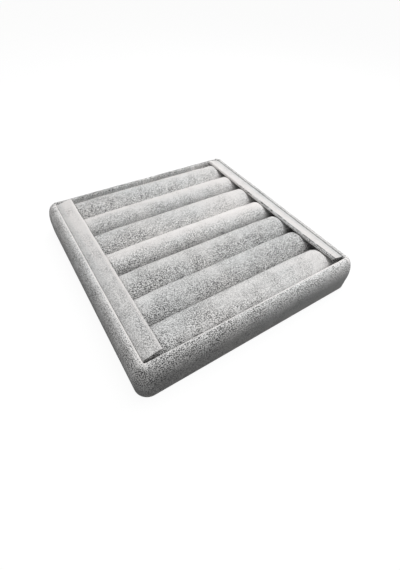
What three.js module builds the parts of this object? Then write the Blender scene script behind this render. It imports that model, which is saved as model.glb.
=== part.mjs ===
// Velvet ring tray: a padded, velvet-covered tray holding a lift-out pad of foam ring rolls.
// Millimetres. X runs along the rolls, Y from front to back, Z up.
// The origin is the middle of the underside.
import * as THREE from "three";

// Tray, outside
const TRAY_WIDTH = 180;
const TRAY_DEPTH = 183;
const RIM_HEIGHT = 27.7;
const CORNER_RADIUS = 9;
const HEEL_RADIUS = 0.9; // bottom edge of the walls
const SHOULDER_START = 11.5; // height where the padded outside begins to lean in
const CREST_INSET = 7.4; // crest of the rim, in from the outside
const INNER_ROUND = 1.8; // height of the tighter round on the inside of the rim
const HEM_WIDTH = 14; // velvet turned under the base

// Stock thicknesses
const VELVET = 0.7; // cloth and pile
const GLUE = 0.1; // glue line between two layers
const BOTTOM_SHEET = 0.4;
const BASE_BOARD = 3;
const RAIL = 4;
const PADDING = 3; // foam outside the rails
const PAD_CARD = 1.2;
const STRIP_CARD = 0.9;

// Rails and sheets
const RAIL_TOP = 22.4;
const SHEET_INSET = 4; // bottom sheet, in from the outside
const LIFT_CLEARANCE = 0.6; // round the pad, so that it lifts out
const SEAT_CLEARANCE = 0.2; // under the pad

// Rolls
const ROLL_COUNT = 7;
const ROLL_PITCH = 23.6;
const ROLL_RADIUS = 11.65;
const ROLL_CENTRE = 17.2; // height of the axis
const ROLL_LENGTH = 160.8;
const ROLL_FLATNESS = 2.6; // exponent of the squashed lower half; 2 would be an ellipse
const CORE_GAP = 0.3; // between the foam and its sleeve
const SLEEVE_SEAM = 0.6; // slit where the velvet edges meet under the roll
const PRESS_START = 66.5; // distance from the middle where the strip begins to press the roll down

// End strips, over the ends of the rolls
const STRIP_INNER_EDGE = 69.7; // from the middle, along X
const STRIP_INNER_TOP = 30;
const STRIP_OUTER_EDGE = 80.9;
const STRIP_OUTER_TOP = 27.3;
const STRIP_LENGTH = 162.8;
const STRIP_CORNER = 0.9;
const STRIP_HOLLOW = 2; // velvet reaching past the card at each end
const STRIP_SEAM = 0.8; // slit where the velvet edges meet under the strip
const STRIP_SEAT = 0.3; // between a strip and the rolls

// Facets
const CORNER_STEPS = 6;
const SHOULDER_STEPS = 7;
const INNER_STEPS = 4;
const HEEL_STEPS = 2;
const ROLL_STEPS = 24;
const STRIP_STEPS = 3;
const PRESS_STEPS = 3;
const MITRE_GAP = 1; // degrees at each end of a rail

// Stack of layers, from the underside up
const HEM_BOTTOM = BOTTOM_SHEET + GLUE;
const BOARD_BOTTOM = HEM_BOTTOM + VELVET + GLUE;
const FLOOR = BOARD_BOTTOM + BASE_BOARD + GLUE;
const PAD_BOTTOM = FLOOR + VELVET + SEAT_CLEARANCE;
const ROLL_BOTTOM = PAD_BOTTOM + PAD_CARD + GLUE;

// Layers of a wall, from the outside in
const PADDING_INSET = VELVET + GLUE;
const RAIL_INSET = PADDING_INSET + PADDING + GLUE;
const LINING_INSET = RAIL_INSET + RAIL + GLUE;
const WALL = LINING_INSET + VELVET;

// Strips lean down from the inner edge to the outer one
const STRIP_TILT = Math.atan2(STRIP_INNER_TOP - STRIP_OUTER_TOP, STRIP_OUTER_EDGE - STRIP_INNER_EDGE);
const STRIP_WIDTH = (STRIP_OUTER_EDGE - STRIP_INNER_EDGE) / Math.cos(STRIP_TILT);
const STRIP_THICKNESS = STRIP_CARD + 2 * (VELVET + GLUE);

const QUARTER = Math.PI / 2;
const SIDES = ["back", "left", "front", "right"]; // in the order that the corners are passed

function range(count) {
  return Array.from({ length: count }, (_, i) => i);
}

// Material of each kind of stock
function velvet() {
  return new THREE.MeshStandardMaterial({ color: 0xc6c6c5, roughness: 0.95, metalness: 0 });
}

function foam() {
  return new THREE.MeshStandardMaterial({ color: 0xe4e1d8, roughness: 0.9, metalness: 0 });
}

function board() {
  return new THREE.MeshStandardMaterial({ color: 0xa98c66, roughness: 0.8, metalness: 0 });
}

function greyboard() {
  return new THREE.MeshStandardMaterial({ color: 0x8f8b85, roughness: 0.85, metalness: 0 });
}

function feltPaper() {
  return new THREE.MeshStandardMaterial({ color: 0x77777a, roughness: 0.95, metalness: 0 });
}

function piece(name, geometry, material) {
  const mesh = new THREE.Mesh(geometry, material);
  mesh.name = name;
  return mesh;
}

// Solid through rings of points that all follow one anticlockwise section.
// A closed loft joins its last ring to its first; an open one is capped by the section's own triangles.
function loft(rings, section, closed) {
  const count = section.length;
  const points = rings.flat();
  const triangles = [];
  const spans = closed ? rings.length : rings.length - 1;
  for (let ring = 0; ring < spans; ring++) {
    const here = ring * count;
    const next = ((ring + 1) % rings.length) * count;
    for (let i = 0; i < count; i++) {
      const j = (i + 1) % count;
      triangles.push(here + i, here + j, next + j);
      triangles.push(here + i, next + j, next + i);
    }
  }
  if (!closed) {
    const last = (rings.length - 1) * count;
    for (const [a, b, c] of THREE.ShapeUtils.triangulateShape(section, [])) {
      triangles.push(c, b, a);
      triangles.push(last + a, last + b, last + c);
    }
  }
  const geometry = new THREE.BufferGeometry().setFromPoints(points);
  geometry.setIndex(triangles);
  geometry.computeVertexNormals();
  return geometry;
}

function anticlockwise(section) {
  return THREE.ShapeUtils.isClockWise(section) ? section.reverse() : section;
}

// Point of the tray's rounded outline, moved in by an inset, at a corner (0 to 3) and a turn within it (0 to 1)
function outlinePoint(corner, turn, inset) {
  const radius = Math.max(CORNER_RADIUS - inset, VELVET);
  const angle = (corner + turn) * QUARTER;
  const middle = (corner + 0.5) * QUARTER;
  const x = Math.sign(Math.cos(middle)) * (TRAY_WIDTH / 2 - inset - radius) + radius * Math.cos(angle);
  const y = Math.sign(Math.sin(middle)) * (TRAY_DEPTH / 2 - inset - radius) + radius * Math.sin(angle);
  return new THREE.Vector2(x, y);
}

// One ring of a wall section (x is the inset, y the height) at a place on the outline
function wallRing(section, corner, turn) {
  return section.map((p) => {
    const place = outlinePoint(corner, turn, p.x);
    return new THREE.Vector3(place.x, place.y, p.y);
  });
}

// Wall section carried all the way round the tray
function wallLoop(section) {
  const rings = [];
  for (let corner = 0; corner < 4; corner++) {
    for (let step = 0; step <= CORNER_STEPS; step++) {
      rings.push(wallRing(section, corner, step / CORNER_STEPS));
    }
  }
  return loft(rings, section, true);
}

// Wall section along one side, from mitre to mitre
function wallSide(section, side) {
  const rings = [];
  const half = CORNER_STEPS / 2;
  const mitre = 0.5 + MITRE_GAP / 90;
  for (let step = half; step <= CORNER_STEPS; step++) {
    rings.push(wallRing(section, side, Math.max(step / CORNER_STEPS, mitre)));
  }
  for (let step = 0; step <= half; step++) {
    rings.push(wallRing(section, side + 1, Math.min(step / CORNER_STEPS, 1 - mitre)));
  }
  return loft(rings, section, false);
}

// Quarter of an ellipse round a centre, moved in along its normal by a depth.
// It runs from the first direction to the second, given in right angles.
function quarterArc(centre, halfWidth, halfHeight, from, to, depth, steps) {
  return range(steps + 1).map((step) => {
    const angle = THREE.MathUtils.lerp(from, to, step / steps) * QUARTER;
    const cos = Math.cos(angle);
    const sin = Math.sin(angle);
    const normal = new THREE.Vector2(cos / halfWidth, sin / halfHeight).normalize();
    return new THREE.Vector2(halfWidth * cos, halfHeight * sin).add(centre).addScaledVector(normal, -depth);
  });
}

// Outside of the wall from the heel over the crest to the inner face, at a depth below the velvet's surface
function shoulderLine(depth) {
  const shoulder = new THREE.Vector2(CREST_INSET, SHOULDER_START);
  const inner = new THREE.Vector2(CREST_INSET, RIM_HEIGHT - INNER_ROUND);
  const rise = RIM_HEIGHT - SHOULDER_START;
  return [
    ...quarterArc(shoulder, CREST_INSET, rise, 2, 1, depth, SHOULDER_STEPS),
    ...quarterArc(inner, WALL - CREST_INSET, INNER_ROUND, 1, 0, depth, INNER_STEPS).slice(1),
  ];
}

// One face of the velvet cover: under the base, up the wall, over the rim and down to the floor
function coverLine(depth) {
  const heel = new THREE.Vector2(HEEL_RADIUS, HEM_BOTTOM + HEEL_RADIUS);
  return [
    new THREE.Vector2(HEM_WIDTH, HEM_BOTTOM + depth),
    ...quarterArc(heel, HEEL_RADIUS, HEEL_RADIUS, 3, 2, depth, HEEL_STEPS),
    ...shoulderLine(depth),
    new THREE.Vector2(WALL - depth, FLOOR),
  ];
}

function coverSection() {
  return anticlockwise([...coverLine(0), ...coverLine(VELVET).reverse()]);
}

// Foam over the outside and the top of a rail
function paddingSection() {
  const outside = RAIL_INSET - GLUE;
  const seat = RAIL_TOP + GLUE;
  const bottom = HEM_BOTTOM + HEEL_RADIUS;
  return anticlockwise([
    new THREE.Vector2(PADDING_INSET, bottom),
    ...shoulderLine(PADDING_INSET),
    new THREE.Vector2(LINING_INSET - GLUE, seat),
    new THREE.Vector2(outside, seat),
    new THREE.Vector2(outside, bottom),
  ]);
}

function railSection() {
  const inside = RAIL_INSET + RAIL;
  return anticlockwise([
    new THREE.Vector2(RAIL_INSET, FLOOR),
    new THREE.Vector2(RAIL_INSET, RAIL_TOP),
    new THREE.Vector2(inside, RAIL_TOP),
    new THREE.Vector2(inside, FLOOR),
  ]);
}

// Flat sheet that follows the tray's outline at an inset
function sheet(inset, bottom, thickness) {
  const outline = [];
  for (let corner = 0; corner < 4; corner++) {
    for (let step = 0; step <= CORNER_STEPS; step++) {
      outline.push(outlinePoint(corner, step / CORNER_STEPS, inset));
    }
  }
  const geometry = new THREE.ExtrudeGeometry(new THREE.Shape(outline), {
    depth: thickness,
    bevelEnabled: false,
  });
  return geometry.translate(0, 0, bottom);
}

// Underside of a strip at a distance from the middle, along X
function stripUnderside(distance) {
  const top = STRIP_INNER_TOP - (distance - STRIP_INNER_EDGE) * Math.tan(STRIP_TILT);
  return top - STRIP_THICKNESS / Math.cos(STRIP_TILT);
}

// Top of a roll at a distance from the middle: level, then bent down and held under the strip
function rollTop(distance) {
  const level = ROLL_CENTRE + ROLL_RADIUS;
  const press = THREE.MathUtils.smoothstep(distance, PRESS_START, STRIP_INNER_EDGE);
  const held = stripUnderside(Math.max(distance, STRIP_INNER_EDGE)) - STRIP_SEAT;
  return THREE.MathUtils.lerp(level, held, press);
}

// Section of a roll, a depth below the velvet: round above, squashed on the card below, open at the seam
function rollSection(top, depth) {
  const radius = ROLL_RADIUS - depth;
  const rise = top - ROLL_CENTRE - depth;
  const fall = ROLL_CENTRE - ROLL_BOTTOM - depth;
  const slit = Math.asin(SLEEVE_SEAM / 2 / ROLL_RADIUS);
  return range(ROLL_STEPS + 1).map((step) => {
    const angle = -QUARTER + slit + ((4 * QUARTER - 2 * slit) * step) / ROLL_STEPS;
    const cos = Math.cos(angle);
    const sin = Math.sin(angle);
    if (sin >= 0) {
      return new THREE.Vector2(radius * cos, ROLL_CENTRE + rise * sin);
    }
    const power = 2 / ROLL_FLATNESS;
    const side = Math.sign(cos) * Math.abs(cos) ** power;
    return new THREE.Vector2(radius * side, ROLL_CENTRE - fall * Math.abs(sin) ** power);
  });
}

// Roll solid from a section that depends on the roll's top, along a length
function rollLoft(sectionAt, length) {
  const end = length / 2;
  const press = range(PRESS_STEPS + 1).map((step) => {
    return THREE.MathUtils.lerp(PRESS_START, STRIP_INNER_EDGE, step / PRESS_STEPS);
  });
  const distances = [...press, end];
  const stations = [...distances.map((d) => -d).reverse(), ...distances];
  const rings = stations.map((x) => {
    return sectionAt(rollTop(Math.abs(x))).map((p) => new THREE.Vector3(x, p.x, p.y));
  });
  return loft(rings, sectionAt(rollTop(end)), false);
}

function sleeveSection(top) {
  return [...rollSection(top, 0), ...rollSection(top, VELVET).reverse()];
}

function coreSection(top) {
  return rollSection(top, VELVET + CORE_GAP);
}

function addRolls(group) {
  for (let i = 0; i < ROLL_COUNT; i++) {
    const y = (i - (ROLL_COUNT - 1) / 2) * ROLL_PITCH;
    const core = piece(`roll_core_${i + 1}`, rollLoft(coreSection, ROLL_LENGTH - 2 * VELVET), foam());
    const sleeve = piece(`roll_sleeve_${i + 1}`, rollLoft(sleeveSection, ROLL_LENGTH), velvet());
    core.position.y = y;
    sleeve.position.y = y;
    group.add(core, sleeve);
  }
}

// Rounded rectangle from the seam under the strip, all the way round and back to it
function stripLine(depth) {
  const radius = STRIP_CORNER - depth * (STRIP_CORNER - GLUE) / VELVET;
  const halfWidth = STRIP_WIDTH / 2 - depth - radius;
  const halfHeight = STRIP_THICKNESS / 2 - depth - radius;
  const line = [new THREE.Vector2(STRIP_SEAM / 2, -halfHeight - radius)];
  for (let corner = 3; corner < 7; corner++) {
    const middle = (corner + 0.5) * QUARTER;
    const centre = new THREE.Vector2(
      Math.sign(Math.cos(middle)) * halfWidth,
      Math.sign(Math.sin(middle)) * halfHeight,
    );
    line.push(...quarterArc(centre, radius, radius, corner, corner + 1, 0, STRIP_STEPS));
  }
  line.push(new THREE.Vector2(-STRIP_SEAM / 2, -halfHeight - radius));
  return line;
}

function stripWrap() {
  const section = [...stripLine(0), ...stripLine(VELVET).reverse()];
  const geometry = new THREE.ExtrudeGeometry(new THREE.Shape(section), {
    depth: STRIP_LENGTH,
    bevelEnabled: false,
  });
  return geometry.translate(0, 0, -STRIP_LENGTH / 2).rotateX(QUARTER);
}

function stripCard() {
  const width = STRIP_WIDTH - 2 * (VELVET + GLUE);
  return new THREE.BoxGeometry(width, STRIP_LENGTH - 2 * STRIP_HOLLOW, STRIP_CARD);
}

// Strips lie on the roll ends, with the inner edge up and the outer edge level with the rim
function addStrips(group) {
  const reach = (STRIP_INNER_EDGE + STRIP_OUTER_EDGE) / 2 - (STRIP_THICKNESS / 2) * Math.sin(STRIP_TILT);
  const height = (STRIP_INNER_TOP + STRIP_OUTER_TOP) / 2 - (STRIP_THICKNESS / 2) * Math.cos(STRIP_TILT);
  for (const [name, side] of [["left", -1], ["right", 1]]) {
    const strip = new THREE.Group();
    strip.position.set(side * reach, 0, height);
    strip.rotation.y = side * STRIP_TILT;
    strip.add(piece(`strip_card_${name}`, stripCard(), greyboard()));
    strip.add(piece(`strip_wrap_${name}`, stripWrap(), velvet()));
    group.add(strip);
  }
}

function makeTray() {
  const tray = new THREE.Group();
  tray.add(piece("bottom_sheet", sheet(SHEET_INSET, 0, BOTTOM_SHEET), feltPaper()));
  tray.add(piece("base_board", sheet(RAIL_INSET, BOARD_BOTTOM, BASE_BOARD), board()));
  SIDES.forEach((name, side) => {
    tray.add(piece(`rail_${name}`, wallSide(railSection(), side), board()));
    tray.add(piece(`padding_${name}`, wallSide(paddingSection(), side), foam()));
  });
  tray.add(piece("tray_cover", wallLoop(coverSection()), velvet()));
  tray.add(piece("floor_liner", sheet(WALL + GLUE, FLOOR, VELVET), velvet()));
  return tray;
}

function makePad() {
  const pad = new THREE.Group();
  pad.add(piece("pad_card", sheet(WALL + LIFT_CLEARANCE, PAD_BOTTOM, PAD_CARD), greyboard()));
  addRolls(pad);
  addStrips(pad);
  return pad;
}

const ringTray = new THREE.Group();
ringTray.add(makeTray(), makePad());

export default ringTray;
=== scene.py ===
"""Grey velvet ring tray with a lift-out pad of foam rolls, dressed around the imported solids.
Metres. X runs along the rolls, Y from the front to the back, Z up."""
import math
import bpy
import numpy as np
from mathutils import Matrix, Vector, noise


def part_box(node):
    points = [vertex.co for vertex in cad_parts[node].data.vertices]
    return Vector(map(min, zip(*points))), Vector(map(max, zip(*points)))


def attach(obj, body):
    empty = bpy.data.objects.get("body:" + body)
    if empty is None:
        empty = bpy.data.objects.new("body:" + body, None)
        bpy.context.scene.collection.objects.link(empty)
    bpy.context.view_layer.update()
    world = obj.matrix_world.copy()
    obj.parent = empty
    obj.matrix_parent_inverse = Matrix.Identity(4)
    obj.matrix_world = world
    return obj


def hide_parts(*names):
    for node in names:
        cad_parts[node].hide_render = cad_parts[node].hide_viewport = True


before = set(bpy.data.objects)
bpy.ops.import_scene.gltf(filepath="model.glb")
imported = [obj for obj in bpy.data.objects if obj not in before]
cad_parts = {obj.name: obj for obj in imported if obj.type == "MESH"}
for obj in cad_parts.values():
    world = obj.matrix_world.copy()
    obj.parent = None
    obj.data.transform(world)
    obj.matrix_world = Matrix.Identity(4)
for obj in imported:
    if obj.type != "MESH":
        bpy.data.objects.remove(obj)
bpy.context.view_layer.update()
MM = 0.001

# Camera: the view that was fitted to the photograph's outline and roll lines
FRAME_HEIGHT = 570  # pixels
FOCAL_LENGTH = 303.95  # pixels
AZIMUTH, ELEVATION, ROLL = -35.51, 49.24, 3.98  # degrees
DISTANCE, SHIFT_RIGHT, SHIFT_UP = 258.8 * MM, 7.36 * MM, -25.53 * MM
SENSOR = 36.0
NEAREST = 10 * MM

# Light: one large lamp overhead, a little to the right, and soft light from all round
KEY_DIRECTION = Vector((0.36, 0.12, 0.925))
KEY_DISTANCE = 0.6
KEY_SIZE = 0.6
KEY_POWER = 3.1  # watts
AMBIENT = 0.38  # strength of the light from all round
FLOOR_REACH = 4.0
FLOOR_GREY = 0.12  # share of the light that the floor gives back
FLOOR_GLOW = 0.92  # white that only the camera sees

# Velvet: woven ground with a short pile, which is in the material
CLOTH = 0.5 * MM
FLECKS_PER_METRE = 1800.0
GRAINS_PER_METRE = 5200.0  # fine strands inside a fleck
CLUMPS_PER_METRE = 650.0
CLOUDS_PER_METRE = 80.0
TINTS_PER_METRE = 26.0
NOISE_RANGE = (0.35, 0.65)  # levels that hold most of a noise
CLOUD_RANGE = (0.3, 0.7)
FLECK_RANGE = (0.43, 0.48)  # level of the noise where a fleck is full, and where it ends
TIP_RANGE = (0.5, 0.7)  # levels of the pale tips between the flecks
CLUMP_GAIN = (2.2, 1.2)  # strength of the flecks inside a clump, and outside it
GRAIN_GAIN = (0.3, 1.5)  # strength of a fleck between its strands, and on them
LEAST_FLECK = 0.08  # strength of the flecks where the pile is brushed flat
CLOUD_NAP = 0.3  # how much more or less ruffled the pile is inside a cloud
CLOUD_SHADE = 0.35  # how much darker a ruffled cloud looks
GLINT = 0.25  # how much paler the tips are on ruffled pile
BRUSHED_NAP = 0.6  # pile that is more ruffled than this doesn't look brushed
BRUSHED_LAY = (1.0, 1.06)  # tones between which smooth pile takes on the brushed grey
GREY_A, GREY_B = (0.725, 0.715, 0.705, 1), (0.705, 0.71, 0.707, 1)
BRUSHED_GREY = (0.735, 0.712, 0.7, 1)
FLECK_GREY = (0.035, 0.036, 0.038, 1)
# dark backing, also used for painted shade in a strip's fold and at its open near end
BACKING_GREY = (0.03, 0.03, 0.03, 1)
PILE_ROUGHNESS = 0.9
SHEEN, SHEEN_ROUGHNESS = 0.25, 0.4
PILE_RELIEF = (0.15, 0.6)  # strength of the relief on flat pile, and on ruffled pile
PILE_DEPTH = 0.6 * MM
SPECULAR = 0.2  # of every material

# Foam: off-white walls round small pores
PORES_PER_METRE = 1300.0
PORE_RANGE = (0.15, 0.5)  # share of the way to the next pore where a pore begins to fade, and where it ends
FOAM_CLOUDS_PER_METRE = 60.0
FOAM_PALE, FOAM_DARK, PORE_SHADE = (0.80, 0.77, 0.69, 1), (0.72, 0.69, 0.61, 1), (0.45, 0.42, 0.36, 1)
FOAM_ROUGHNESS = 0.95
FOAM_RELIEF, PORE_DEPTH = 0.7, 0.3 * MM

# Sheets of pressed fibres: pale and dark tone, fibres per metre, factor on that count along each axis, and
# roughness
FIBRE_SHEETS = {
    "board": ((0.42, 0.29, 0.16, 1), (0.27, 0.17, 0.09, 1), 900.0, (1, 1, 3), 0.8),
    "greyboard": ((0.33, 0.32, 0.3, 1), (0.2, 0.19, 0.18, 1), 700.0, (0.25, 1, 1), 0.85),
    "felt_paper": ((0.24, 0.24, 0.25, 1), (0.13, 0.13, 0.14, 1), 1200.0, (1, 1, 1), 0.95),
}
FIBRE_CLOUDS_PER_METRE = 40.0
FIBRE_SHARE, FIBRE_CLOUD_SHARE = 0.7, 0.3  # how much of the dark tone the fibres and the clouds bring
FIBRE_RELIEF, FIBRE_DEPTH = 0.4, 0.15 * MM

# Height and width of the bumps in each cloth
TRAY_BUMPS = ((0.16 * MM, 26 * MM), (0.07 * MM, 6 * MM))
FLOOR_BUMPS = ((0.04 * MM, 9 * MM),)
ROLL_BUMPS = ((0.14 * MM, 24 * MM), (0.06 * MM, 5 * MM))
STRIP_BUMPS = ((0.05 * MM, 4 * MM),)

# Place of each face of a cloth on its map: the front, the back, then the four cut edges
FRONT_MARKS, BACK_MARKS = (0.0, 0.86), (0.88, 0.96)
EDGE_MARKS = ((0.972, 0.977), (0.979, 0.984), (0.986, 0.991), (0.993, 0.998))
MAP_GAP = 0.004  # between parts of a front that lie one above the other

# Tray
TRAY_LOW, TRAY_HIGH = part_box("tray_cover")
LINER_LOW, LINER_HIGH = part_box("floor_liner")
GLUE = 0.1 * MM
WALL = TRAY_HIGH.x - LINER_HIGH.x - GLUE
CORNER_RADIUS = 9 * MM
HEEL_RADIUS = 0.9 * MM
SHOULDER_START = 11.5 * MM
CREST_INSET = 7.4 * MM
INNER_ROUND = 1.8 * MM
HEM_WIDTH = 14 * MM
HEM_STEPS, HEEL_STEPS, WALL_STEPS, SHOULDER_STEPS, INNER_STEPS = 5, 4, 8, 22, 8  # of the wall's section
WALL_FREE = (1 * MM, 5 * MM)  # heights between which the cover comes free of the base
LINER_GAP = 0.4 * MM
LINER_POINTS = 100
LINER_NAP, LINER_LAY = 0.4, 1.0  # how ruffled and how pale the floor's pile is
WALL_SHARES = (0.87, 0.93)  # of the half width, between which the floor ends and a wall is in full
NEAR_SHARES = (0.86, 0.97)  # likewise for the corner that is nearest to the camera
UPPER_START = (13 * MM, 25 * MM)  # heights between which the pile turns from dark to pale, partly painted shade low on the walls
CREST_START = (24 * MM, 27 * MM)  # heights between which the crest begins
WAIST_START, WAIST_END = (8 * MM, 14 * MM), (22 * MM, 26 * MM)  # heights of the wall's paler middle, where painted light lies on the left wall
RIDGE_INSET, RIDGE_WIDTH = 8.0 * MM, 0.7 * MM  # painted highlight along the inside of the rim
RIDGE_THINNER = 0.4  # share of its width that it loses on the left
GAP_INSETS = (7.7 * MM, 8.4 * MM)  # where the rim turns down into the gap beside a strip, which gets painted shade on the right
INSIDE_INSETS = (4 * MM, 7 * MM)  # between which the rim's inner half begins
PATCH_SIZE = 2.6 * MM  # of the dark patches along the back rim
# Pile of the cover: how ruffled and how pale it is at the foot of the walls, then what each zone adds; the
# paleness holds partly painted shade low on the walls and inside the back crest, and painted light on the
# left waist and along the ridge
TRAY_PILE = {
    "foot": (0.45, 0.55),
    "upper": (0.4, 0.5),
    "ridge_highlight": (-0.8, 0.06),
    "front, to the right": (-0.3, 0),
    "left waist": (0, 0.3),
    "left crest": (0, -0.05),
    "left crest, past the near corner": (-0.25, 0.13),
    "right crest": (-0.4, 0.02),
    "back crest": (0, 0.07),
    "back crest, to the right": (0, 0.14),
    "inside of the back crest": (0.3, -0.22),
    "patches on the back crest": (0, 0.4),
}
FRONT_PALER, FRONT_SLOPE = 0.03, 0.12  # how much paler the middle of the front wall is, and more to the right, partly as painted light
FRONT_FOOT = 0.5  # share of that at the foot of the wall; at the top it is 1 more
# What handling and painted light add to the pile in the same way: painted shade in the gathers' creases and
# in the gap on the right, a painted highlight on their crowns, and partly painted shade at the near corner
TRAY_WEAR_AND_SHADE = {
    "gathers": (-0.5, 0.15),
    "near corner": (0.2, -0.16),
    "inside of the near corner": (-0.9, 0.25),
    "painted shade in the gap on the right": (0, -0.6),
}

# Gathers at the inner corners of the rim
PLEAT_PITCH = 2.2 * MM
PLEAT_WANDER = 0.35  # share of a pitch
PLEAT_DEPTH = 0.5 * MM  # from a crown to a crease
SINK_LIMIT = 0.25 * MM  # least height of the cloth, which lies on the padding
PLEAT_REACH = 4.5 * MM  # round the corner, and from the rim outwards
PLEAT_DROP = 1.2 * MM  # from the rim down the inside
CORNER_STEPS = 24
FINE_STEP, COARSE_STEP = 0.4 * MM, 1.6 * MM
GATHER_REACH = 8 * MM  # length of the fine steps beside a corner

# Rolls
ROLL_COUNT = 7
ROLL_FLATNESS = 2.6  # exponent of the squashed lower half
ROLL_STEPS, CORE_STEPS = 84, 48
FINE_REACH = 24 * MM  # length of the fine steps at each end of a roll
SLEEVE_SEAM = 0.6 * MM
CORE_DEPTH = 1.3 * MM  # foam below the velvet's surface
CORE_RECESS = 0.7 * MM  # foam in from the sleeve's ends
CAP_RADIUS, CAP_PLACES = 0.02, ((0.1, 0.95), (0.3, 0.95))  # of the foam's ends on the map
CORE_DOME = ((0.15, 0.4), (0.4, 0.36), (0.65, 0.27), (0.88, 0.12))  # share of the radius, millimetres out
PRESS_BEFORE, PRESS_AFTER = 2.0 * MM, 0.6 * MM  # where the foam gives way, before and past a strip's edge
END_TAPER, TAPER_REACH = 0.03, 8 * MM  # share of the width that a roll loses under the strips
ROLL_SPACING = 23.6 * MM
ROLL_GAP = 0.1 * MM  # least gap between two rolls
GLUED_HEIGHT, FREE_HEIGHT = 2 * MM, 9 * MM  # above the card, where the cloth lies flat and where it is free
SHADE_REACH = (0.8 * MM, 2.5 * MM)  # past a strip's edge, between which the pile under the strip gets painted shade
PAINTED_STRIP_SHADE = 0.3  # how much darker the painted shade makes it there
PUCKER_DEPTH, PUCKER_SIZE = 0.16 * MM, 2.6 * MM
PUCKER_STRETCH = np.array([4, 1, 1])  # they run along the roll
PUCKER_REACH = (58 * MM, 67 * MM)  # from the middle, along a roll, between which they begin
CROWN_TURN = (45, 95)  # degrees up from the front, between which the ruffle becomes the crown's
LEAN_SPREAD = 25  # degrees before and after the change of lean
BACK_TURN, BACK_HIGHLIGHT = (85, 110), 0.08  # degrees between which a painted highlight makes the back of a roll paler, and how much
SMOOTH_PALER = 0.25  # how much paler the pile gets where it gets smoother
# How the pile of each roll lies, from the front roll to the back one: how ruffled it is on the front and on
# the crown, how pale it looks there from the way it leans and from painted light and shade, the angle up from
# the front where the lean changes, and how much smoother it gets from the middle to the right end
PILE_OF_ROLL = (
    (0.60, 0.50, 1.22, 0.98, 65, 0.34),
    (0.90, 0.60, 1.08, 0.95, 45, -0.15),
    (0.95, 0.50, 1.18, 0.97, 40, 0.00),
    (0.75, 0.10, 0.66, 1.11, 35, 0.12),
    (0.70, 0.40, 1.10, 1.02, 50, 0.34),
    (0.65, 0.06, 0.66, 1.04, 35, 0.10),
    (0.80, 0.45, 1.08, 1.01, 40, 0.30),
)

# Simulation that blows the sleeves up over their foam
SWELL = 0.3 * MM  # how much smaller a sleeve starts
SWELL_LIMIT = 0.5 * MM
CLOTH_PRESSURE = 4.0
CLOTH_FRAMES = 20
CLOTH_SCALE = 50.0  # the cloth is simulated larger than life, or its stiffness would outweigh the pressure
CLOTH_ROWS, CLOTH_COLUMNS = 64, 42
HELD_HEIGHT = 3 * MM  # of the part that is glued to the card
HELD_BEFORE = 0.5 * MM  # how far before a strip's edge the cloth is held down

# End strips
STRIP_INNER_EDGE, STRIP_INNER_TOP = 69.7 * MM, 30 * MM
STRIP_OUTER_EDGE, STRIP_OUTER_TOP = 80.9 * MM, 27.3 * MM
STRIP_LENGTH = 162.8 * MM
STRIP_THICKNESS = 2.5 * MM
STRIP_CORNER = 0.3 * MM
STRIP_FLARE = 0.2 * MM  # how far the outer edge spreads towards the rim
FLARE_HEIGHT = 0.8  # share of the outer edge's height over which it spreads
STRIP_SEAM = 0.8 * MM
STRIP_SEAT = 0.1 * MM
STRIP_ROWS = 400
SIDE_STEPS, TOP_STEPS, FLANK_STEPS, NOSE_STEPS = 5, 9, 4, 18  # of a strip's section
CARD = 0.9 * MM
CARD_INSET = (STRIP_THICKNESS - CARD) / 2  # of the card inside a strip, from the strip's faces and long edges
CARD_ROWS, CARD_COLUMNS = 100, 8
STRIP_TILT = math.atan2(STRIP_INNER_TOP - STRIP_OUTER_TOP, STRIP_OUTER_EDGE - STRIP_INNER_EDGE)
STRIP_WIDTH = (STRIP_OUTER_EDGE - STRIP_INNER_EDGE) / math.cos(STRIP_TILT)
CREASE_PLACE = 1.25 * MM  # fold line along the top, from the inner edge
CREASE_WIDTH = 0.7 * MM
CREASE_DEPTH = 0.22 * MM
LEAST_CREASE = 0.2  # share of the depth between two nicks
FLANK_REACH = 0.9 * MM  # length of the fine steps beside the fold
NOSE_START = 112  # degrees, where the fold goes over into the rounded inner edge
NICKS = ((1.5, 3 * MM, 3.0), (0.9, 11 * MM, 1.0))  # strength, length and seed of the waves that nick the fold
NICK_LEVEL = 0.35
WORN_MOST, WORN_ENDS = 1.2, (-70 * MM, 75 * MM)  # wear at the near end; between these places it fades by 1
RUB_POWER = 1.5  # makes the wear of the pile fade faster than the depth of the fold
FOLD_ENDS = (1.4 * MM, -0.5 * MM)  # line of bare nicks with painted crease shade, from the inner edge, at the near and the far end
FOLD_SWAY = ((0.35 * MM, 4 * MM),)
BARE_WIDTH = 0.36 * MM  # of the dark backing that shows in a nick, and of the painted shade in the fold
BARE_LEVEL, BARE_NICKS, BARE_GRAIN = 0.35, 1.5, 1.8  # how bare the line is throughout, in nicks and in grains
BARE_SIZE = 0.9 * MM  # of a grain
NOSE_REACH = (0.8 * MM, 2.6 * MM)  # from the inner edge, where the rounded nose goes over into the top
STRIP_PILE = {"nose": (-0.45, 0.06), "rubbed nose": (0.95, -0.19)}  # what each adds, as on the tray: a painted highlight on the nose, and ruffled pile with painted shade where it is rubbed
FALL_SHARES = (0.5, 1.0)  # of the width, between which the pile gets darker towards the outer edge
SHADED_END = 0.9 * MM  # painted shade of the open near cut end, in the dark backing's colour
SWAY = ((0.25 * MM, 17 * MM), (0.1 * MM, 5 * MM))  # how the inner edge wanders
SWAY_REACH = 0.8  # share of the width that goes along with it
SWAY_SEED, FOLD_SEED = 5.0, 7.0
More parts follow.
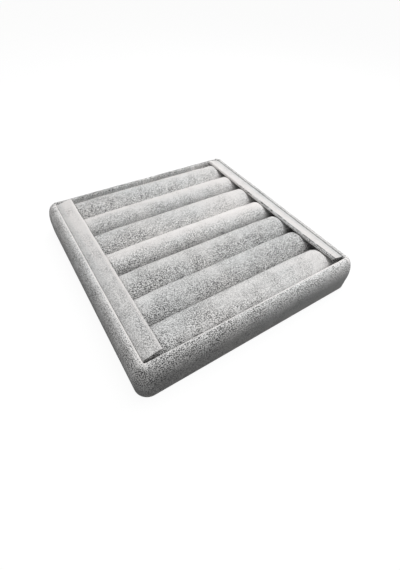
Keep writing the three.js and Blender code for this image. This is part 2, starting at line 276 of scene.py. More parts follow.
# Each strip as it was glued: inner and outer edge, how much narrower its near end is, how worn its fold is
# (which also sets painted shade in the fold, on the nose and at the near end), how ruffled its pile is and
# how pale it looks at the near and the far end, how much darker its outer edge is
STRIPS = {
    "left": {"side": -1, "inner": 69.1 * MM, "outer": 81.2 * MM, "narrow": 0.0, "wear_and_shade": 0.15,
             "nap": (0.6, 0.05), "tone": (1.0, 1.13), "fall": 0.22},
    "right": {"side": 1, "inner": 69.9 * MM, "outer": 81.05 * MM, "narrow": 0.8 * MM, "wear_and_shade": 1.0,
              "nap": (0.05, 0.05), "tone": (1.08, 1.08), "fall": 0.14},
}
NARROW_FROM, NARROW_TO = -80 * MM, -45 * MM


def camera():
    azimuth, elevation, roll = (math.radians(a) for a in (AZIMUTH, ELEVATION, ROLL))
    back = Vector((
        math.sin(azimuth) * math.cos(elevation),
        -math.cos(azimuth) * math.cos(elevation),
        math.sin(elevation),
    ))
    level = Vector((math.cos(azimuth), math.sin(azimuth), 0))
    rise = back.cross(level)
    right = level * math.cos(roll) + rise * math.sin(roll)
    up = rise * math.cos(roll) - level * math.sin(roll)
    cam = bpy.data.objects.new("camera", bpy.data.cameras.new("camera"))
    bpy.context.scene.collection.objects.link(cam)
    cam.matrix_world = Matrix((right, up, back)).transposed().to_4x4()
    cam.location = right * SHIFT_RIGHT + up * SHIFT_UP + back * DISTANCE
    cam.data.sensor_width = SENSOR
    cam.data.lens = FOCAL_LENGTH * SENSOR / FRAME_HEIGHT
    cam.data.clip_start = NEAREST
    bpy.context.scene.camera = cam


# Material nodes
def add(tree, kind, **inputs):
    """New node whose inputs are set to plain values or linked to other nodes' outputs; _0 is the first."""
    node = tree.nodes.new(kind)
    for name, value in inputs.items():
        socket = node.inputs[int(name[1:])] if name[0] == "_" else node.inputs[name.replace("_", " ")]
        if isinstance(value, bpy.types.NodeSocket):
            tree.links.new(value, socket)
        else:
            socket.default_value = value
    return node


def attribute(tree, name):
    node = tree.nodes.new("ShaderNodeAttribute")
    node.attribute_name = name
    return node.outputs["Fac"]


def object_coords(tree):
    return tree.nodes.new("ShaderNodeTexCoord").outputs["Object"]


def combine(tree, operation, a, b, clamp=False):
    node = add(tree, "ShaderNodeMath", _0=a, _1=b)
    node.operation = operation
    node.use_clamp = clamp
    return node.outputs[0]


def map_range(tree, value, low, high, to_low, to_high):
    node = add(tree, "ShaderNodeMapRange", Value=value)
    for name, level in (("From Min", low), ("From Max", high), ("To Min", to_low), ("To Max", to_high)):
        node.inputs[name].default_value = level
    return node.outputs["Result"]


def noise_node(tree, coords, scale, detail=2.0, roughness=0.5):
    node = add(tree, "ShaderNodeTexNoise", Vector=coords, Scale=scale, Detail=detail, Roughness=roughness)
    return node.outputs["Fac"]


def mix_colour(tree, factor, a, b):
    """Mix of two colours. Inputs 0, 6 and 7 and output 2 are the ones that a mix of colours uses."""
    node = tree.nodes.new("ShaderNodeMix")
    node.data_type = "RGBA"
    for index, value in ((0, factor), (6, a), (7, b)):
        if isinstance(value, bpy.types.NodeSocket):
            tree.links.new(value, node.inputs[index])
        else:
            node.inputs[index].default_value = value
    return node.outputs[2]


def new_material(name, roughness):
    material = bpy.data.materials.new(name)
    material.use_nodes = True
    shader = material.node_tree.nodes["Principled BSDF"]
    shader.inputs["Roughness"].default_value = roughness
    shader.inputs["Specular IOR Level"].default_value = SPECULAR
    return material, material.node_tree, shader


def bump(tree, shader, height, strength, distance):
    node = add(tree, "ShaderNodeBump", Height=height, Strength=strength, Distance=distance)
    tree.links.new(node.outputs[0], shader.inputs["Normal"])


def velvet():
    """Short pile: dark flecks where it is ruffled, smooth and pale where brushed, dark backing where bare and
    in some painted shade. Each point of a cloth says how ruffled (nap) and how bare its pile is, and how pale
    it looks, from the way it lies and from painted shade and highlights."""
    material, tree, shader = new_material("velvet", PILE_ROUGHNESS)
    coords = object_coords(tree)
    nap, lay, bare_and_shade = (attribute(tree, key) for key in ("nap", "lay", "bare_and_shade"))
    drift = noise_node(tree, coords, CLOUDS_PER_METRE, detail=3.0, roughness=0.6)
    pile = noise_node(tree, coords, FLECKS_PER_METRE, detail=0.0)
    strands = noise_node(tree, coords, GRAINS_PER_METRE, detail=1.0)
    clumps = noise_node(tree, coords, CLUMPS_PER_METRE, detail=0.0)
    tints = noise_node(tree, coords, TINTS_PER_METRE)

    cloud = map_range(tree, drift, *CLOUD_RANGE, -CLOUD_NAP, CLOUD_NAP)
    ruffle = combine(tree, "ADD", nap, cloud, clamp=True)
    fleck = map_range(tree, pile, *FLECK_RANGE, 1.0, 0.0)
    fleck = combine(tree, "MULTIPLY", fleck, map_range(tree, strands, *NOISE_RANGE, *GRAIN_GAIN))
    fleck = combine(tree, "MULTIPLY", fleck, map_range(tree, clumps, *NOISE_RANGE, *CLUMP_GAIN), clamp=True)
    fleck = combine(tree, "MULTIPLY", fleck, map_range(tree, ruffle, 0.0, 1.0, LEAST_FLECK, 1.0))

    ground = mix_colour(tree, map_range(tree, tints, *NOISE_RANGE, 0.0, 1.0), GREY_A, GREY_B)
    smooth = map_range(tree, nap, 0.0, BRUSHED_NAP, 1.0, 0.0)
    brushed = combine(tree, "MULTIPLY", smooth, map_range(tree, lay, *BRUSHED_LAY, 0.0, 1.0))
    ground = mix_colour(tree, brushed, ground, BRUSHED_GREY)
    shade = combine(tree, "MULTIPLY", nap, combine(tree, "MULTIPLY", cloud, -CLOUD_SHADE))
    glint = combine(tree, "MULTIPLY", ruffle, map_range(tree, pile, *TIP_RANGE, 0.0, GLINT))
    tone = combine(tree, "ADD", combine(tree, "ADD", glint, shade), 1.0)
    tips = add(tree, "ShaderNodeVectorMath", _0=ground)
    tips.operation = "SCALE"
    # the paleness at each point holds painted shade and highlights besides the pile's own tone
    tree.links.new(combine(tree, "MULTIPLY", tone, lay), tips.inputs["Scale"])

    cloth = mix_colour(tree, fleck, tips.outputs["Vector"], FLECK_GREY)
    tree.links.new(mix_colour(tree, bare_and_shade, cloth, BACKING_GREY), shader.inputs["Base Color"])
    shader.inputs["Sheen Weight"].default_value = SHEEN
    shader.inputs["Sheen Roughness"].default_value = SHEEN_ROUGHNESS
    bump(tree, shader, pile, map_range(tree, ruffle, 0.0, 1.0, *PILE_RELIEF), PILE_DEPTH)
    return material


def foam():
    """Open-cell foam: off-white walls round small dark pores."""
    material, tree, shader = new_material("foam", FOAM_ROUGHNESS)
    coords = object_coords(tree)
    pores = add(tree, "ShaderNodeTexVoronoi", Vector=coords, Scale=PORES_PER_METRE).outputs["Distance"]
    share = map_range(tree, pores, *PORE_RANGE, 1.0, 0.0)
    tone = mix_colour(tree, noise_node(tree, coords, FOAM_CLOUDS_PER_METRE), FOAM_PALE, FOAM_DARK)
    tree.links.new(mix_colour(tree, share, tone, PORE_SHADE), shader.inputs["Base Color"])
    bump(tree, shader, pores, FOAM_RELIEF, PORE_DEPTH)
    return material


def fibre_sheet(name, pale, dark, count, factors, roughness):
    """Pressed fibres: fine specks, which may be drawn out along one axis, and a slow change of tone."""
    material, tree, shader = new_material(name, roughness)
    coords = object_coords(tree)
    drawn = add(tree, "ShaderNodeMapping", Vector=coords, Scale=factors).outputs["Vector"]
    fibres = noise_node(tree, drawn, count, detail=4.0, roughness=0.65)
    cloud = combine(tree, "MULTIPLY", noise_node(tree, coords, FIBRE_CLOUDS_PER_METRE), FIBRE_CLOUD_SHARE)
    share = combine(tree, "ADD", map_range(tree, fibres, *NOISE_RANGE, 0.0, FIBRE_SHARE), cloud)
    tree.links.new(mix_colour(tree, share, pale, dark), shader.inputs["Base Color"])
    bump(tree, shader, fibres, FIBRE_RELIEF, FIBRE_DEPTH)
    return material


# Meshes
def link(name, mesh):
    thing = bpy.data.objects.new(name, mesh)
    bpy.context.scene.collection.objects.link(thing)
    return thing


def finish_mesh(name, vertices, faces, corners, material, values=()):
    """Object from points, faces, the place of each face corner on the map, and named values at the points."""
    mesh = bpy.data.meshes.new(name)
    mesh.from_pydata(vertices.reshape(-1, 3).tolist(), [], faces)
    mesh.uv_layers.new(name="OFBake").data.foreach_set("uv", corners.ravel().astype(np.float32))
    for key, numbers in dict(values).items():
        mesh.attributes.new(key, "FLOAT", "POINT").data.foreach_set("value", numbers.astype(np.float32))
    mesh.polygons.foreach_set("use_smooth", [True] * len(mesh.polygons))
    mesh.materials.append(material)
    mesh.update()
    return link(name, mesh)


def grid_normals(grid, loop):
    """Unit normals of a grid of points, by central differences; a loop joins its last row to its first."""
    along = np.roll(grid, -1, 0) - np.roll(grid, 1, 0) if loop else np.gradient(grid, axis=0)
    normal = np.cross(along, np.gradient(grid, axis=1))
    return normal / np.linalg.norm(normal, axis=2, keepdims=True)


def travel(points):
    """Distance of each point of a line from the line's start."""
    return np.concatenate([[0], np.cumsum(np.linalg.norm(np.diff(points, axis=0), axis=1))])


def band(a, b, low, high, places=None):
    """Faces between two lines of point numbers, and their corners' places on the map between two marks."""
    u = np.linspace(0, 1, len(a)) if places is None else (places - places[0]) / (places[-1] - places[0])
    on_a = np.stack([u, np.full_like(u, low)], 1)
    on_b = np.stack([u, np.full_like(u, high)], 1)
    faces = np.stack([a[:-1], a[1:], b[1:], b[:-1]], 1)
    corners = np.stack([on_a[:-1], on_a[1:], on_b[1:], on_b[:-1]], 1)
    return faces, corners


def grid_bands(numbers, low, high, places=None):
    """Bands between neighbouring columns of a grid of point numbers; the rows may have their own places."""
    marks = np.linspace(low, high, numbers.shape[1])
    return [band(*pair, places) for pair in zip(numbers.T, numbers.T[1:], marks, marks[1:])]


def joined(bands):
    return [np.concatenate(part) for part in zip(*bands)]


def cloth_piece(name, grid, material, thickness=CLOTH, loop=False, parts=1, **values):
    """Closed thin slab below a grid of surface points. Its front lies on the map in stacked parts."""
    rows, columns = grid.shape[:2]
    below = grid - grid_normals(grid, loop) * thickness
    numbers = np.arange(2 * rows * columns).reshape(2, rows, columns)
    if loop:
        numbers = np.concatenate([numbers, numbers[:, :1]], 1)
    front, back = numbers
    places = travel(np.take(grid[:, columns // 2], np.arange(len(front)), axis=0, mode="wrap"))
    bands = grid_bands(back[:, ::-1], *BACK_MARKS, places)
    ends = np.linspace(0, len(front) - 1, parts + 1).round().astype(int)
    floors = np.linspace(*FRONT_MARKS, parts + 1)
    for start, end, low, high in zip(ends, ends[1:], floors, floors[1:]):
        part = slice(start, end + 1)
        bands += grid_bands(front[part], low, high - MAP_GAP, places[part])
    bands.append(band(back[:, 0], front[:, 0], *EDGE_MARKS[0]))
    bands.append(band(front[:, -1], back[:, -1], *EDGE_MARKS[1]))
    if not loop:
        bands.append(band(front[0], back[0], *EDGE_MARKS[2]))
        bands.append(band(back[-1], front[-1], *EDGE_MARKS[3]))
    faces, corners = joined(bands)
    both = {key: np.tile(np.broadcast_to(value, (rows, columns)).ravel(), 2) for key, value in values.items()}
    return finish_mesh(name, np.stack([grid, below]), faces.tolist(), corners, material, both)


def smoothstep(value, low, high):
    t = np.clip((value - low) / (high - low), 0, 1)
    return t * t * (3 - 2 * t)


def waves(points, size, offset=0.0):
    """Smooth noise from about -1 to 1 at an array of points, with bumps of one size."""
    flat = points.reshape(-1, 3) / size + offset
    return np.array([noise.noise(Vector(p)) for p in flat]).reshape(points.shape[:-1])


def bumps(points, kinds, offset=0.0):
    return sum(height * waves(points, size, offset) for height, size in kinds)


def pile_of(amounts, zones):
    """How ruffled and how pale the pile is: what each zone adds to both, where it lies."""
    return [sum(amounts[name][kind] * zone for name, zone in zones.items()) for kind in (0, 1)]


def arc(centre, half_width, half_height, start, end, steps):
    angles = np.radians(np.linspace(start, end, steps + 1))
    return np.stack([centre[0] + half_width * np.cos(angles), centre[1] + half_height * np.sin(angles)], 1)


def straight(start, end, steps):
    """Points from the start up to, but without, the end."""
    share = np.linspace(0, 1, steps, endpoint=False)[:, None]
    return np.array(start) + share * (np.array(end) - np.array(start))


def graded(length, reach):
    """Distances along a length, close together within reach of its two ends."""
    near = np.arange(0, reach, FINE_STEP)
    count = round((length - 2 * reach) / COARSE_STEP)
    return np.concatenate([near, np.linspace(reach, length - reach, count), length - near[::-1]])


def dress(piece, body, node):
    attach(piece, body)
    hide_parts(node)


# Tray
def wall_line():
    """The velvet's surface from the hem under the base, up the wall and over the rim, to the floor."""
    low, top, floor = TRAY_LOW.z, TRAY_HIGH.z, LINER_LOW.z
    return np.concatenate([
        straight((HEM_WIDTH, low), (HEEL_RADIUS, low), HEM_STEPS),
        arc((HEEL_RADIUS, low + HEEL_RADIUS), HEEL_RADIUS, HEEL_RADIUS, 270, 180, HEEL_STEPS),
        straight((0, low + HEEL_RADIUS), (0, SHOULDER_START), WALL_STEPS)[1:],
        arc((CREST_INSET, SHOULDER_START), CREST_INSET, top - SHOULDER_START, 180, 90, SHOULDER_STEPS),
        arc((CREST_INSET, top - INNER_ROUND), WALL - CREST_INSET, INNER_ROUND, 90, 0, INNER_STEPS)[1:],
        straight((WALL, top - INNER_ROUND), (WALL, floor), WALL_STEPS)[1:],
        [(WALL, floor)],
    ])


def corner_points(corner, turn, insets):
    """The rounded outline at a corner (0 to 3) and a turn within it (0 to 1), for an array of insets."""
    radius = np.maximum(CORNER_RADIUS - insets, WALL - CREST_INSET)
    angle = (corner + turn) * math.pi / 2
    middle = (corner + 0.5) * math.pi / 2
    x = np.sign(math.cos(middle)) * (TRAY_HIGH.x - insets - radius) + radius * math.cos(angle)
    y = np.sign(math.sin(middle)) * (TRAY_HIGH.y - insets - radius) + radius * math.sin(angle)
    return np.stack([x, y], 1)


def cover_grid(line):
    """Rows round the tray by columns along the wall line, and each row's distance from the nearest corner."""
    insets = line[:, 0]
    rows, distances = [], []
    crest_turn = (CORNER_RADIUS - CREST_INSET) * math.pi / 2
    for corner in range(4):
        for turn in np.linspace(0, 1, CORNER_STEPS, endpoint=False):
            rows.append(corner_points(corner, turn, insets))
            distances.append((turn - 0.5) * crest_turn)
        start, end = corner_points(corner, 1, insets), corner_points(corner + 1, 0, insets)
        length = np.linalg.norm(end[0] - start[0])
        for along in graded(length, GATHER_REACH)[:-1]:
            rows.append(start + (end - start) * along / length)
            nearest = along if along < length / 2 else along - length
            distances.append(nearest + math.copysign(crest_turn / 2, nearest))
    plan = np.array(rows)
    heights = np.broadcast_to(line[:, 1], plan.shape[:2])
    return np.concatenate([plan, heights[..., None]], 2), np.array(distances)


def pleats(distances, travelled, rim_line):
    """Gathers, from 1 on a crown to -1 in a crease: rows round the tray by columns along the wall."""
    reach = np.where(travelled < 0, PLEAT_REACH, PLEAT_DROP)
    wander = PLEAT_WANDER * waves(rim_line, PLEAT_PITCH)
    folds = -np.cos(2 * math.pi * (distances / PLEAT_PITCH + wander))
    folds *= np.exp(-(distances / PLEAT_REACH) ** 2)
    return folds[:, None] * np.exp(-(travelled / reach) ** 2)


def tray_pile(grid, insets, heights, folds):
    """How ruffled and how pale the cover's pile is, at each point of its grid, with painted shade and light
    in the paleness.
    """
    along, back = grid[..., 0] / TRAY_HIGH.x, grid[..., 1] / TRAY_HIGH.y
    left, right, front, rear = (smoothstep(place, *WALL_SHARES) for place in (-along, along, -back, back))
    near = smoothstep(-(along + back) / 2, *NEAR_SHARES)
    crest = smoothstep(heights, *CREST_START)
    waist = smoothstep(heights, *WAIST_START) * (1 - smoothstep(heights, *WAIST_END))
    upper = smoothstep(heights, *UPPER_START)
    inside = smoothstep(insets, *INSIDE_INSETS)
    ridge_highlight = np.exp(-((insets - RIDGE_INSET) / (RIDGE_WIDTH * (1 - RIDGE_THINNER * left))) ** 2)
    nap, lay = pile_of(TRAY_PILE, {
        "foot": 1,
        "upper": upper,
        "ridge_highlight": ridge_highlight * crest * (1 - right) * (1 - rear),
        "front, to the right": front * along,
        "left waist": left * waist,
        "left crest": left * crest,
        "left crest, past the near corner": left * crest * (1 - near),
        "right crest": right * crest,
        "back crest": rear * crest,
        "back crest, to the right": rear * crest * along,
        "inside of the back crest": rear * crest * inside,
        "patches on the back crest": rear * crest * inside * waves(grid, PATCH_SIZE),
    })
    # front wall paler to the right, partly painted light
    lay *= 1 + front * (FRONT_PALER + FRONT_SLOPE * along) * (FRONT_FOOT + upper)
    more_nap, more_lay = pile_of(TRAY_WEAR_AND_SHADE, {
        "gathers": folds,
        "near corner": near * upper,
        "inside of the near corner": near * crest * inside,
        "painted shade in the gap on the right": right * smoothstep(insets, *GAP_INSETS),
    })
    return {"nap": nap + more_nap, "lay": lay + more_lay}


def tray_velvet(material):
    """Velvet over the walls in one loop; the rim is the column where the wall turns down inside."""
    line = wall_line()
    insets, heights = line.T
    grid, distances = cover_grid(line)
    rim = np.argmin(np.abs(insets - (CREST_INSET + WALL) / 2) - heights)
    up_wall = travel(line)
    folds = pleats(distances, up_wall - up_wall[rim], grid[:, rim])
    free = smoothstep(heights, *WALL_FREE) * (1 - smoothstep(insets, CREST_INSET, WALL))
    rise = np.maximum(bumps(grid, TRAY_BUMPS) * free + PLEAT_DEPTH / 2 * folds, -SINK_LIMIT)
    grid = grid + grid_normals(grid, True) * rise[..., None]
    values = tray_pile(grid, insets, heights, folds)
    piece = cloth_piece("tray_velvet", grid, material, loop=True, parts=4, **values)
    dress(piece, "tray", "tray_cover")


def floor_velvet(material):
    x = np.linspace(LINER_LOW.x + LINER_GAP, LINER_HIGH.x - LINER_GAP, LINER_POINTS)
    y = np.linspace(LINER_LOW.y + LINER_GAP, LINER_HIGH.y - LINER_GAP, LINER_POINTS)
    grid = np.stack([*np.meshgrid(x, y, indexing="ij"), np.full((len(x), len(y)), LINER_HIGH.z)], 2)
    depth = sum(height for height, _ in FLOOR_BUMPS)
    grid[..., 2] += bumps(grid, FLOOR_BUMPS) - depth
    piece = cloth_piece("floor_velvet", grid, material, nap=LINER_NAP, lay=LINER_LAY)
    dress(piece, "tray", "floor_liner")


# Rolls
def past_strip(x):
    """How far a place along a roll lies beyond the inner edge of the strip at that end."""
    return np.abs(x) - np.where(x < 0, STRIPS["left"]["inner"], STRIPS["right"]["inner"])


def roll_top(x, level):
    """Height of a roll's top: level between the strips, then held down under them."""
    past = past_strip(x)
    across = np.maximum(np.abs(x) - np.minimum(past, 0), STRIP_INNER_EDGE)
    top = STRIP_INNER_TOP - (across - STRIP_INNER_EDGE) * math.tan(STRIP_TILT)
    held = top - STRIP_THICKNESS / math.cos(STRIP_TILT) - STRIP_SEAT
    return level + (held - level) * smoothstep(past, -PRESS_BEFORE, PRESS_AFTER)


def roll_grid(number, depth, recess, steps):
    """Rows along a roll by columns round it, from one edge of the seam under it to the other."""
    low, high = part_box(f"roll_sleeve_{number}")
    radius = (high.y - low.y) / 2
    axis = high.z - radius
    x = (graded(high.x - low.x, FINE_REACH) + low.x) * (1 - recess / high.x)
    rise = (roll_top(x, high.z) - axis - depth)[:, None]
    fall = axis - low.z - depth
    wide = (radius * (1 - END_TAPER * smoothstep(past_strip(x), 0, TAPER_REACH)) - depth)[:, None]
    slit = math.asin(SLEEVE_SEAM / 2 / radius)
    angle = np.linspace(3 * math.pi / 2 - slit, -math.pi / 2 + slit, steps)[None, :]
    sin, cos = np.sin(angle), np.cos(angle)
    power = np.where(sin >= 0, 1, 2 / ROLL_FLATNESS)
    y = (low.y + high.y) / 2 + wide * np.sign(cos) * np.abs(cos) ** power
    z = axis + np.where(sin >= 0, rise, fall) * np.sign(sin) * np.abs(sin) ** power
    return np.stack([np.broadcast_to(x[:, None], z.shape), y, z], 2)


def blown_up(grid, held):
    """Grid after a short cloth simulation with air pressure behind it; the held points stay in place."""
    scene = bpy.context.scene
    numbers = np.arange(held.size).reshape(held.shape)
    faces, _ = joined(grid_bands(numbers, 0, 1))
    mesh = bpy.data.meshes.new("sleeve")
    mesh.from_pydata((grid * CLOTH_SCALE).reshape(-1, 3).tolist(), [], faces.tolist())
    sleeve = link("sleeve", mesh)
    sleeve.vertex_groups.new(name="held").add(numbers[held].tolist(), 1.0, "REPLACE")
    cloth = sleeve.modifiers.new("cloth", "CLOTH")
    cloth.settings.vertex_group_mass = "held"
    cloth.settings.use_pressure = True
    cloth.settings.uniform_pressure_force = CLOTH_PRESSURE
    cloth.settings.effector_weights.gravity = 0
    cloth.collision_settings.use_collision = False
    cloth.point_cache.frame_end = CLOTH_FRAMES
    for moment in range(1, CLOTH_FRAMES + 1):
        scene.frame_set(moment)
    result = sleeve.evaluated_get(bpy.context.evaluated_depsgraph_get()).to_mesh()
    points = np.empty(grid.size, np.float32)
    result.vertices.foreach_get("co", points)
    bpy.data.objects.remove(sleeve)
    bpy.data.meshes.remove(mesh)
    scene.frame_set(1)
    return points.reshape(grid.shape) / CLOTH_SCALE


def spread(places, count):
    """Matrix that carries values at a few places of a line over to all of its points."""
    return np.stack([np.interp(np.arange(count), places, unit) for unit in np.eye(len(places))], 1)


def swollen(grid):
    """Sleeve that a simulation on fewer points has filled out, free between the strips and the card."""
    rows, columns = (np.linspace(0, count - 1, points).round().astype(int)
                     for count, points in zip(grid.shape, (CLOTH_ROWS, CLOTH_COLUMNS)))
    coarse = grid[np.ix_(rows, columns)]
    glued = coarse[..., 2] < grid[..., 2].min() + HELD_HEIGHT
    held = glued | (past_strip(coarse[..., 0]) > -HELD_BEFORE)
    move = blown_up(coarse, held) - coarse
    move *= np.minimum(1, SWELL_LIMIT / np.maximum(np.linalg.norm(move, axis=2, keepdims=True), GLUE))
    return grid + np.einsum("ri,ijk,cj->rck", spread(rows, len(grid)), move, spread(columns, grid.shape[1]))


def roll_pile(number, along, turned, past):
    """How ruffled and how pale a roll's pile is, with painted light and shade: by the share of the way from
    its middle to the right end, the angle up from the front that its surface has turned, and the distance
    past a strip's edge."""
    front_nap, crown_nap, front_tone, crown_tone, change, drift = PILE_OF_ROLL[number - 1]
    smoother = drift * along
    nap = front_nap + (crown_nap - front_nap) * smoothstep(turned, *CROWN_TURN) - smoother
    lean_and_light = smoothstep(turned, change - LEAN_SPREAD, change + LEAN_SPREAD)
    lay = front_tone + (crown_tone - front_tone) * lean_and_light
    lay += BACK_HIGHLIGHT * smoothstep(turned, *BACK_TURN) + SMOOTH_PALER * smoother
    # painted shade where the roll runs in under a strip
    lay *= 1 - PAINTED_STRIP_SHADE * smoothstep(past, *SHADE_REACH)
    return {"nap": nap, "lay": lay}


def roll_velvet(number, material):
    low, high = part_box(f"roll_sleeve_{number}")
    grid = roll_grid(number, 0.0, 0.0, ROLL_STEPS)
    grid = swollen(roll_grid(number, SWELL, 0.0, ROLL_STEPS))
    normals = grid_normals(grid, False)
    turned = np.degrees(np.arctan2(normals[..., 2], -normals[..., 1]))
    past = past_strip(grid[..., 0])
    free = smoothstep(grid[..., 2] - low.z, GLUED_HEIGHT, FREE_HEIGHT)
    free *= 1 - smoothstep(past, -PRESS_BEFORE, 0)
    squeeze = smoothstep(np.abs(grid[..., 0]), *PUCKER_REACH)
    puckers = PUCKER_DEPTH * squeeze * waves(grid / PUCKER_STRETCH, PUCKER_SIZE, number)
    grid = grid + normals * ((bumps(grid, ROLL_BUMPS, number) + puckers) * free)[..., None]
    middle, reach = (low.y + high.y) / 2, (ROLL_SPACING - ROLL_GAP) / 2
    grid[..., 1] = np.clip(grid[..., 1], middle - reach, middle + reach)
    values = roll_pile(number, grid[..., 0] / high.x, turned, past)
    piece = cloth_piece(f"roll_velvet_{number}", grid, material, **values)
    dress(piece, "ring_pad", f"roll_sleeve_{number}")


def roll_foam(number, material):
    """Closed foam cylinder with softly domed ends."""
    grid = roll_grid(number, CORE_DEPTH, CORE_RECESS, CORE_STEPS)
    middle = grid[0].mean(0)
    ends = []
    for share, out in CORE_DOME:
        end = middle + (grid[0] - middle) * share
        ends.append(end - np.array([out * MM, 0, 0]))
    mirror = np.array([-1, 1, 1])
    rings = np.concatenate([ends, grid, np.array(ends[::-1]) * mirror])
    numbers = np.arange(rings.size // 3).reshape(rings.shape[:2])
    closed = np.concatenate([numbers, numbers[:, :1]], 1)
    faces, corners = joined(grid_bands(closed, *FRONT_MARKS))
    turn = np.linspace(0, 2 * math.pi, CORE_STEPS, endpoint=False)
    disc = CAP_RADIUS * np.stack([np.cos(turn), np.sin(turn)], 1)
    caps = [numbers[0].tolist(), numbers[-1, ::-1].tolist()]
    corners = np.concatenate([corners.reshape(-1, 2), *(disc + place for place in CAP_PLACES)])
    piece = finish_mesh(f"roll_foam_{number}", rings, faces.tolist() + caps, corners, material)
    dress(piece, "ring_pad", f"roll_core_{number}")


# End strips
def strip_line(crease):
    """Section of a strip from seam to seam: distances across from its inner edge and up from its middle."""
    half = STRIP_THICKNESS / 2
    corner = STRIP_WIDTH - STRIP_CORNER
    seam = STRIP_WIDTH / 2
    flank = CREASE_PLACE + CREASE_WIDTH / 2
    slope = np.linspace(0.1, 1.0, FLANK_STEPS)  # share of the way down into the fold
    flare = np.linspace(0.2, 0.95, SIDE_STEPS)  # share of the way up the outer edge
    return np.concatenate([
        straight((seam + STRIP_SEAM / 2, -half), (corner, -half), SIDE_STEPS),
        arc((corner, -half + STRIP_CORNER), STRIP_CORNER, STRIP_CORNER, 270, 360, SIDE_STEPS),
        np.stack([STRIP_WIDTH + STRIP_FLARE * flare ** 2, half * (2 * flare - 1) * FLARE_HEIGHT], 1),
        arc((corner + STRIP_FLARE, half - STRIP_CORNER), STRIP_CORNER, STRIP_CORNER, 0, 90, SIDE_STEPS),
        straight((corner, half), (flank + FLANK_REACH, half), TOP_STEPS)[1:],
        straight((flank + FLANK_REACH, half), (flank, half), FLANK_STEPS),
        np.stack([flank + (CREASE_PLACE - flank) * slope, half - crease * slope ** 1.5], 1),
        arc((half, 0), half, half, NOSE_START, 270, NOSE_STEPS),
        straight((half, -half), (seam - STRIP_SEAM / 2, -half), SIDE_STEPS)[1:],
        [(seam - STRIP_SEAM / 2, -half)],
    ])


def line_along(side, y):
    """Points along a strip, at which noise is read."""
    return np.stack([np.full_like(y, side), y, np.zeros_like(y)], 1)


def strip_points(strip, across, up, y):
    """Points of a strip, in rows along it: across from its inner edge, which wanders, and up from its top."""
    sway = strip["narrow"] * (1 - smoothstep(y, NARROW_FROM, NARROW_TO))
    sway += bumps(line_along(strip["side"], y), SWAY, SWAY_SEED)
    x = strip["inner"] + across / STRIP_WIDTH * (strip["outer"] - strip["inner"]) + up * math.sin(STRIP_TILT)
    x += sway[:, None] * (1 - smoothstep(across, 0, SWAY_REACH * STRIP_WIDTH))
    z = STRIP_INNER_TOP - across * math.sin(STRIP_TILT) + up * math.cos(STRIP_TILT)
    return np.stack([strip["side"] * x, np.broadcast_to(y[:, None], x.shape), z], 2)


def fold_wear(strip, y):
    """How nicked and how worn the fold of a strip is, along the strip."""
    side = strip["side"]
    along = line_along(side, y)
    nicks = sum(strength * waves(along, size, seed * side) for strength, size, seed in NICKS)
    worn = strip["wear_and_shade"] * (WORN_MOST - smoothstep(y, *WORN_ENDS))
    return np.clip(nicks + NICK_LEVEL, 0, 1), worn


def strip_pile(strip, y, lines, grid, nicks, worn):
    """How ruffled, how pale and how bare a strip's pile is, at each point of its grid."""
    across, up = lines[..., 0], lines[..., 1]
    rubbed_and_shaded = worn[:, None] ** RUB_POWER
    nap, tone = (np.interp(y, y[[0, -1]], strip[key])[:, None] for key in ("nap", "tone"))
    nose = 1 - smoothstep(across, *NOSE_REACH)
    nose_nap, nose_lay = pile_of(STRIP_PILE, {"nose": nose, "rubbed nose": nose * rubbed_and_shaded})
    fall = strip["fall"] * smoothstep(across / STRIP_WIDTH, *FALL_SHARES)
    fold = np.interp(y, y[[0, -1]], FOLD_ENDS) + bumps(line_along(strip["side"], y), FOLD_SWAY, FOLD_SEED)
    # worn-through backing and painted shade of the crease, along the fold
    in_fold = np.exp(-((across - fold[:, None]) / BARE_WIDTH) ** 2) * (up > 0)
    in_fold *= BARE_LEVEL + BARE_NICKS * nicks[:, None] + BARE_GRAIN * waves(grid, BARE_SIZE)
    # painted shade of the strip's open near end
    at_end = strip["wear_and_shade"] * (1 - smoothstep(y - y[0], 0, SHADED_END))
    return {
        "nap": nap + nose_nap,
        "lay": tone * (1 - fall) + nose_lay,
        "bare_and_shade": np.clip(in_fold * rubbed_and_shaded + at_end[:, None], 0, 1),
    }


def strip_velvet(name, material):
    """Velvet wrapped round a strip; the rows of the left one are turned round, so that it faces outwards."""
    strip = STRIPS[name]
    y = np.linspace(-STRIP_LENGTH / 2, STRIP_LENGTH / 2, STRIP_ROWS)
    nicks, worn = fold_wear(strip, y)
    creases = CREASE_DEPTH * worn * (LEAST_CREASE + (1 - LEAST_CREASE) * nicks)
    lines = np.array([strip_line(crease) for crease in creases])
    grid = strip_points(strip, lines[..., 0], lines[..., 1] - STRIP_THICKNESS / 2, y)
    values = strip_pile(strip, y, lines, grid, nicks, worn)
    if strip["side"] < 0:
        grid = grid[::-1]
        values = {key: rows[::-1] for key, rows in values.items()}
    grid = grid + grid_normals(grid, False) * bumps(grid, STRIP_BUMPS)[..., None]
    piece = cloth_piece(f"strip_velvet_{name}", grid, material, **values)
    dress(piece, "ring_pad", f"strip_wrap_{name}")


def strip_board(name, material):
    """The card inside a strip, which follows the strip's own edges."""
    low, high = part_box(f"strip_card_{name}")
    y = np.linspace(low.y, high.y, CARD_ROWS) * STRIPS[name]["side"]
    across = np.linspace(STRIP_WIDTH - CARD_INSET, CARD_INSET, CARD_COLUMNS) * np.ones((CARD_ROWS, 1))
    grid = strip_points(STRIPS[name], across, np.full_like(across, -CARD_INSET), y)
    piece = cloth_piece(f"strip_board_{name}", grid, material, thickness=CARD)
    piece.data.polygons.foreach_set("use_smooth", [False] * len(piece.data.polygons))
    dress(piece, "ring_pad", f"strip_card_{name}")


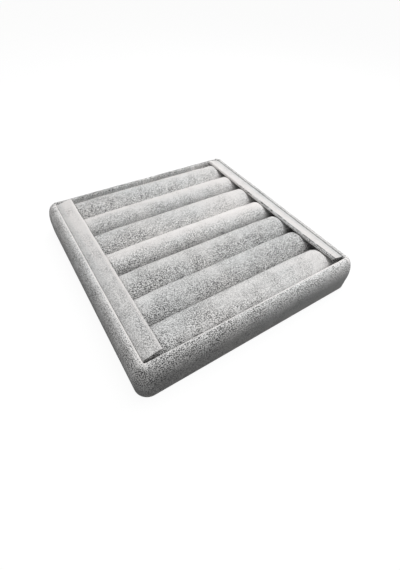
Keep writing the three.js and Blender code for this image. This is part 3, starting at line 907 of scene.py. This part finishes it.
def finish_nodes(material, *names):
    for name in names:
        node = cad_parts[name]
        node.data.materials.clear()
        node.data.materials.append(material)


# Stage and light
def seen(tree):
    """1 for rays that show the backdrop itself, 0 for rays that carry its light."""
    path = tree.nodes.new("ShaderNodeLightPath")
    mirrored = combine(tree, "MAXIMUM", path.outputs["Is Glossy Ray"], path.outputs["Is Transmission Ray"])
    return combine(tree, "MAXIMUM", path.outputs["Is Camera Ray"], mirrored)


def stage():
    material = bpy.data.materials.new("floor")
    material.use_nodes = True
    tree = material.node_tree
    tree.nodes.clear()
    paper = add(tree, "ShaderNodeBsdfDiffuse", Color=(FLOOR_GREY, FLOOR_GREY, FLOOR_GREY, 1)).outputs[0]
    glow = add(tree, "ShaderNodeEmission", Strength=FLOOR_GLOW).outputs[0]
    white = add(tree, "ShaderNodeAddShader", _0=paper, _1=glow).outputs[0]
    surface = add(tree, "ShaderNodeMixShader", _0=seen(tree), _1=paper, _2=white).outputs[0]
    add(tree, "ShaderNodeOutputMaterial", Surface=surface)
    corners = [(x * FLOOR_REACH, y * FLOOR_REACH, 0) for x, y in ((-1, -1), (1, -1), (1, 1), (-1, 1))]
    mesh = bpy.data.meshes.new("floor")
    mesh.from_pydata(corners, [], [(0, 1, 2, 3)])
    mesh.materials.append(material)
    link("floor", mesh)


def lights():
    world = bpy.data.worlds.new("studio")
    bpy.context.scene.world = world
    world.use_nodes = True
    tree = world.node_tree
    tree.nodes.clear()
    strength = map_range(tree, seen(tree), 0.0, 1.0, AMBIENT, 1.0)
    around = add(tree, "ShaderNodeBackground", Color=(1, 1, 1, 1), Strength=strength)
    add(tree, "ShaderNodeOutputWorld", Surface=around.outputs[0])
    lamp = bpy.data.lights.new("key", "AREA")
    lamp.size = KEY_SIZE
    lamp.energy = KEY_POWER
    key = link("key", lamp)
    key.location = KEY_DIRECTION.normalized() * KEY_DISTANCE
    key.rotation_euler = KEY_DIRECTION.to_track_quat("Z", "Y").to_euler()


camera()
pile_cloth = velvet()
cushion = foam()
tray_velvet(pile_cloth)
floor_velvet(pile_cloth)
for roll in range(1, ROLL_COUNT + 1):
    roll_velvet(roll, pile_cloth)
    roll_foam(roll, cushion)
board, greyboard, felt_paper = (fibre_sheet(name, *look) for name, look in FIBRE_SHEETS.items())
for end in STRIPS:
    strip_board(end, greyboard)
    strip_velvet(end, pile_cloth)
sides = ("front", "back", "left", "right")
finish_nodes(board, "base_board", *(f"rail_{side}" for side in sides))
finish_nodes(greyboard, "pad_card")
finish_nodes(felt_paper, "bottom_sheet")
finish_nodes(cushion, *(f"padding_{side}" for side in sides))
stage()
lights()
bpy.context.scene.view_settings.view_transform = "Standard"
